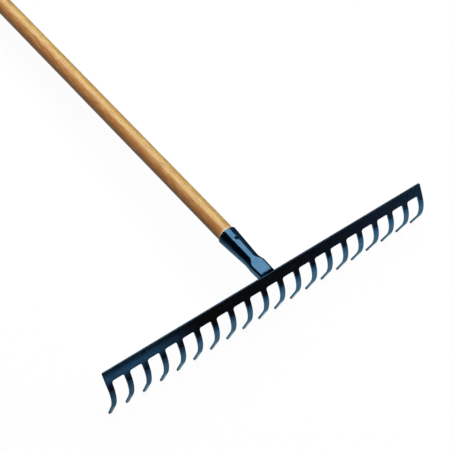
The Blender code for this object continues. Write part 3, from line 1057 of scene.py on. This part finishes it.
class RAKE_OT_welds(bpy.types.Operator):
    """Make the weld beads that join the socket's neck to the bar"""

    bl_idname = "rake.welds"
    bl_label = "Welds"

    def execute(self, context):
        rake = context.scene.rake
        head = HeadShape(rake.head)
        shape = WeldShape(rake.weld, SocketShape(rake.socket, head), head)
        finish = blue_black_enamel("weld_enamel", rake.finish, sag=0.0001)
        add_piece("weld_bead_upper", shape.upper(), "weld_upper", finish)
        add_piece("weld_bead_lower", shape.lower(), "weld_lower", finish)
        return {"FINISHED"}


def stage_mesh(name, bm, finish):
    mesh = bpy.data.meshes.new(name)
    bm.to_mesh(mesh)
    bm.free()
    mesh.materials.append(finish)
    made = new_object(name, mesh)
    return made


def pale_floor(stage):
    """A floor that is white to the eye and darkens a little in the tool's shadow.

    The enamel in the photograph mirrors a floor that is pale just in front of the head, bluer and dimmer
    further off and to the left, and dark behind it. Here that is a glow that only gloss sees.
    """
    half_size = 30.0
    leftward = 0.8
    head_zone = (0.60, 0.69)
    near_end = (0.83, 1.00)
    far_end = (0.75, 1.30)
    handle_zone = (0.005, 0.07)
    shadow_end = (3.0, 40.0)
    bm = bmesh.new()
    corners = ((-1, -1), (1, -1), (1, 1), (-1, 1))
    bm.faces.new([bm.verts.new((x * half_size, y * half_size, 0)) for x, y in corners])

    def varying(finish):
        x, y, _ = finish.parts(finish.place())
        ahead = 0 - y
        away = ahead - x * leftward
        behind = finish.blend(finish.step_between(x * x, *handle_zone), stage.glow_under, stage.glow_behind)
        close = finish.blend(finish.step_between(ahead, *near_end), stage.glow_near, stage.glow_far)
        front = finish.blend(finish.step_between(away, *far_end), close, stage.glow_distant)
        glow = finish.blend(finish.step_between(ahead, *head_zone), behind, front)
        lit = 1 - finish.step_between(x * x + y * y, *shadow_end)
        eye, gloss = finish.seen()
        white = eye * (1 - lit * (stage.floor * stage.floor_light))
        return {"Emission_Color": finish.blend(gloss, white, glow)}

    stage_mesh("floor", bm, glowing("floor_white", varying, (stage.floor, stage.floor, stage.floor)))


def only_in_gloss(made):
    for rays in ("camera", "diffuse", "transmission", "shadow"):
        setattr(made, "visible_" + rays, False)


def dark_room(stage):
    """The dark room, which only the tool's gloss mirrors: lighter near the floor and bluer high up."""
    low_end = (0.2, 1.1)
    high_start = (4.0, 8.0)
    front_start = (6.0, 9.0)
    bm = bmesh.new()
    bmesh.ops.create_icosphere(bm, subdivisions=4, radius=14.0)

    def varying(finish):
        _, y, z = finish.parts(finish.place())
        low = 1 - finish.step_between(z, *low_end)
        high = finish.blend(finish.step_between(z, *high_start), stage.room_front, stage.room_high)
        in_front = finish.blend(low, high, stage.horizon)
        ahead = finish.step_between(0 - y, *front_start)
        return {"Emission_Color": finish.blend(ahead, stage.room_walls, in_front)}

    only_in_gloss(stage_mesh("dark_room", bm, glowing("room_black", varying)))


def blue_card(stage):
    """A narrow card close in front of the head, which only gloss mirrors: it tints the bar's left end."""
    card_y = -0.97
    slant = 0.072
    lower_edge = (0.0990, 0.1030)
    upper_edge = (0.1078, 0.1134)
    left_part = (0.05, 0.17)
    bm = bmesh.new()
    corners = [(-0.32, 0.08), (0.0, 0.08), (0.0, 0.16), (-0.32, 0.16)]
    bm.faces.new([bm.verts.new((x, card_y, z)) for x, z in corners])

    def varying(finish):
        x, _, z = finish.parts(finish.place())
        height = z + x * slant
        band = finish.step_between(height, *lower_edge) - finish.step_between(height, *upper_edge)
        fade = finish.step_between(0 - x, *left_part)
        return {"Emission_Color": finish.blend(band * fade, stage.room_front, stage.blue_card)}

    only_in_gloss(stage_mesh("blue_card", bm, glowing("card_blue", varying)))


def soft_panel(name, place, size, brightness, turn=(0, 0, 0), tint=(1, 1, 1)):
    """A lamp like a panel of this brightness and tint, which isn't seen itself."""
    lamp = bpy.data.lights.new(name, "AREA")
    lamp.color = tint
    lamp.shape = "RECTANGLE"
    lamp.size, lamp.size_y = size
    lamp.energy = brightness * math.pi * size[0] * size[1]
    made = new_object(name, lamp)
    made.location = place
    made.rotation_euler = turn
    made.visible_camera = False
    return made


def studio_lamps(stage):
    """A soft box overhead, a fill in front that gloss doesn't mirror, and a blue panel on the right."""
    soft_panel("soft_box", (0.66, 0.875, 2.7), (3.26, 4.65), stage.soft_box)
    fill = soft_panel("front_fill", (0.66, -1.875, 2.7), (3.26, 0.85), stage.soft_box)
    fill.visible_glossy = False
    facing_left, pale_blue = (0, QUARTER, 0), (0.4, 0.7, 1.0)
    soft_panel("side_panel", (3.0, 0.6, 1.6), (2.0, 3.0), stage.side_panel, facing_left, pale_blue)


def white_surroundings(stage):
    """White to the eye and in glass, and the room's soft light on matt surfaces."""
    world = bpy.data.worlds.new("surroundings")
    world.use_nodes = True
    finish = Finish(world.node_tree)
    eye, gloss = finish.seen()
    seen = eye + gloss
    finish.feed(world.node_tree.nodes["Background"].inputs["Color"], seen + (1 - seen) * stage.room)
    bpy.context.scene.world = world


def photo_camera(stage):
    lens = bpy.data.cameras.new("camera")
    lens.lens = stage.lens
    lens.clip_end = 200.0
    made = new_object("camera", lens)
    look = Matrix.Rotation(-stage.heading, 4, "Z") @ Matrix.Rotation(QUARTER - stage.drop, 4, "X")
    made.matrix_world = Matrix.Translation(stage.camera) @ look @ Matrix.Rotation(stage.roll, 4, "Z")
    bpy.context.scene.camera = made


class RAKE_OT_stage(bpy.types.Operator):
    """Set up the floor, the lamps, the surroundings and the camera"""

    bl_idname = "rake.stage"
    bl_label = "Stage"

    def execute(self, context):
        stage = context.scene.rake.stage
        pale_floor(stage)
        dark_room(stage)
        blue_card(stage)
        studio_lamps(stage)
        white_surroundings(stage)
        photo_camera(stage)
        context.scene.view_settings.view_transform = "Standard"
        return {"FINISHED"}


class RAKE_PT_panel(bpy.types.Panel):
    bl_label = "Garden Rake"
    bl_space_type = "VIEW_3D"
    bl_region_type = "UI"
    bl_category = "Rake"

    def draw(self, context):
        for operator in OPERATORS:
            self.layout.operator(operator.bl_idname)
        rake = context.scene.rake
        for part in RakeSettings.__annotations__:
            group = getattr(rake, part)
            box = self.layout.box()
            for key in group.__annotations__:
                box.prop(group, key)


OPERATORS = (RAKE_OT_head, RAKE_OT_socket, RAKE_OT_handle, RAKE_OT_screw, RAKE_OT_welds, RAKE_OT_stage)
SIZES = (HeadSettings, SocketSettings, HandleSettings, ScrewSettings, WeldSettings)
CLASSES = (*SIZES, FinishSettings, StageSettings, RakeSettings, *OPERATORS, RAKE_PT_panel)


def register():
    for each in CLASSES:
        bpy.utils.register_class(each)
    bpy.types.Scene.rake = PointerProperty(type=RakeSettings)


def unregister():
    del bpy.types.Scene.rake
    for each in reversed(CLASSES):
        bpy.utils.unregister_class(each)


def main():
    register()
    bpy.ops.rake.head()
    bpy.ops.rake.socket()
    bpy.ops.rake.handle()
    bpy.ops.rake.screw()
    bpy.ops.rake.welds()
    bpy.ops.rake.stage()


if __name__ == "__main__":
    main()
